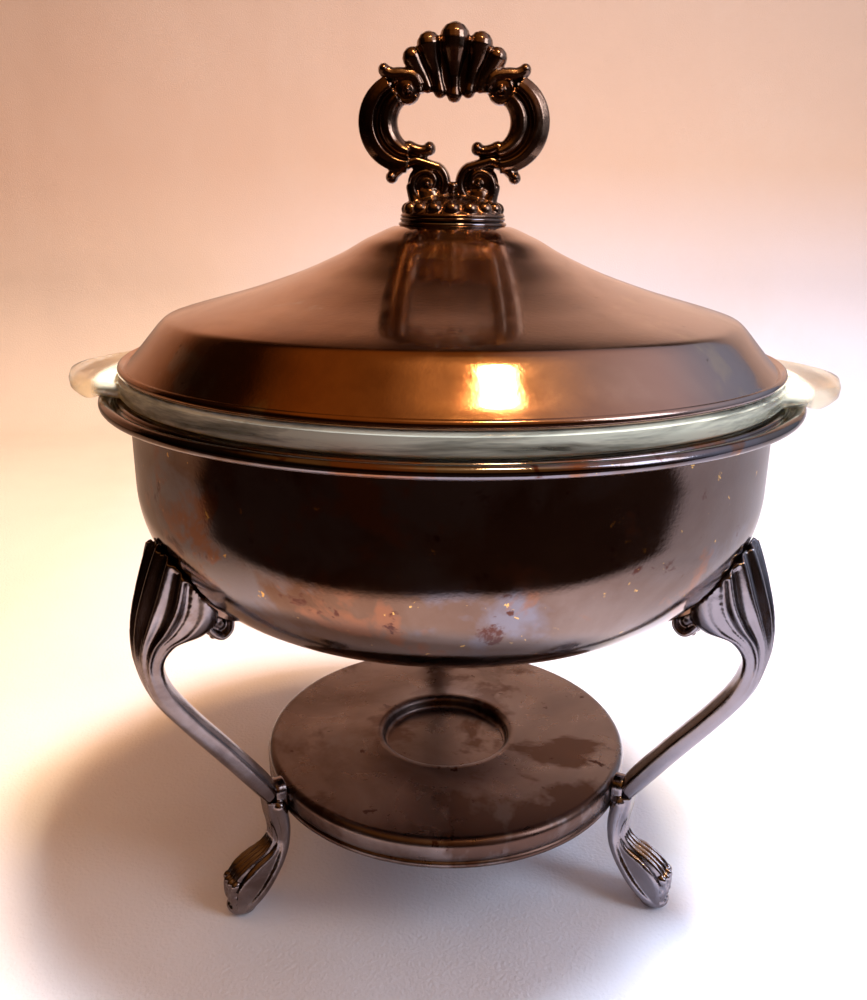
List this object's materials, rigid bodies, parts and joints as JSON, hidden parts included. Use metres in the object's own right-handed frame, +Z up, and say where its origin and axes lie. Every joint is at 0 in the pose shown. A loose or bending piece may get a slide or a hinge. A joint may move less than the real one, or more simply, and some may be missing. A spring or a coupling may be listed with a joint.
{
  "type": "chafing dish",
  "caption": "Round chafing dish: tarnished silver-plated bowl on cast paw-foot legs, glass casserole liner, burner tray and domed lid with a scroll and shell handle.",
  "frame": {"origin": "on the table, under the middle of the bowl", "axes": "+Z up; +Y towards the rear leg, so the open space between the other two legs faces -Y; +X to the right of someone facing +Y"},
  "size_m": [0.2666, 0.2364, 0.303],
  "materials": {
    "bronze_sheet": "polished sheet under brown tarnish",
    "dark_casting": "near-black casting, rubbed bright on the high points",
    "leg_casting": "grey-brown plated casting with bright ridges",
    "tray_sheet": "dull pewter grey with brown patches",
    "clear_glass": "clear, fire polished",
    "steel_wire": "drawn wire",
    "brass_fixings": "dulled brass"
  },
  "bodies": {
    "stand": {"bowl": "bronze_sheet", "rim_wire": "steel_wire", "leg_pad_left": "dark_casting", "leg_pad_right": "dark_casting", "leg_pad_rear": "dark_casting", "leg_left": "leg_casting", "leg_right": "leg_casting", "leg_rear": "leg_casting", "foot_left": "leg_casting", "foot_right": "leg_casting", "foot_rear": "leg_casting", "leg_screws": "brass_fixings", "burner_tray": "tray_sheet", "tray_wire": "steel_wire", "ankle_screws": "brass_fixings"},
    "dish": {"glass_dish": "clear_glass"},
    "lid_body": {"lid": "bronze_sheet", "lid_wire": "steel_wire", "handle_ring": "bronze_sheet", "handle": "dark_casting", "handle_stud": "brass_fixings", "lid_washer": "brass_fixings", "lid_nut": "brass_fixings"}
  },
  "joints": [
    {"name": "dish_lift", "type": "slide", "parent": "stand", "child": "dish", "axis": [0, 0, 1], "range_m": [0, 0.09]},
    {"name": "lid_lift", "type": "slide", "parent": "dish", "child": "lid_body", "axis": [0, 0, 1], "range_m": [0, 0.06]}
  ]
}
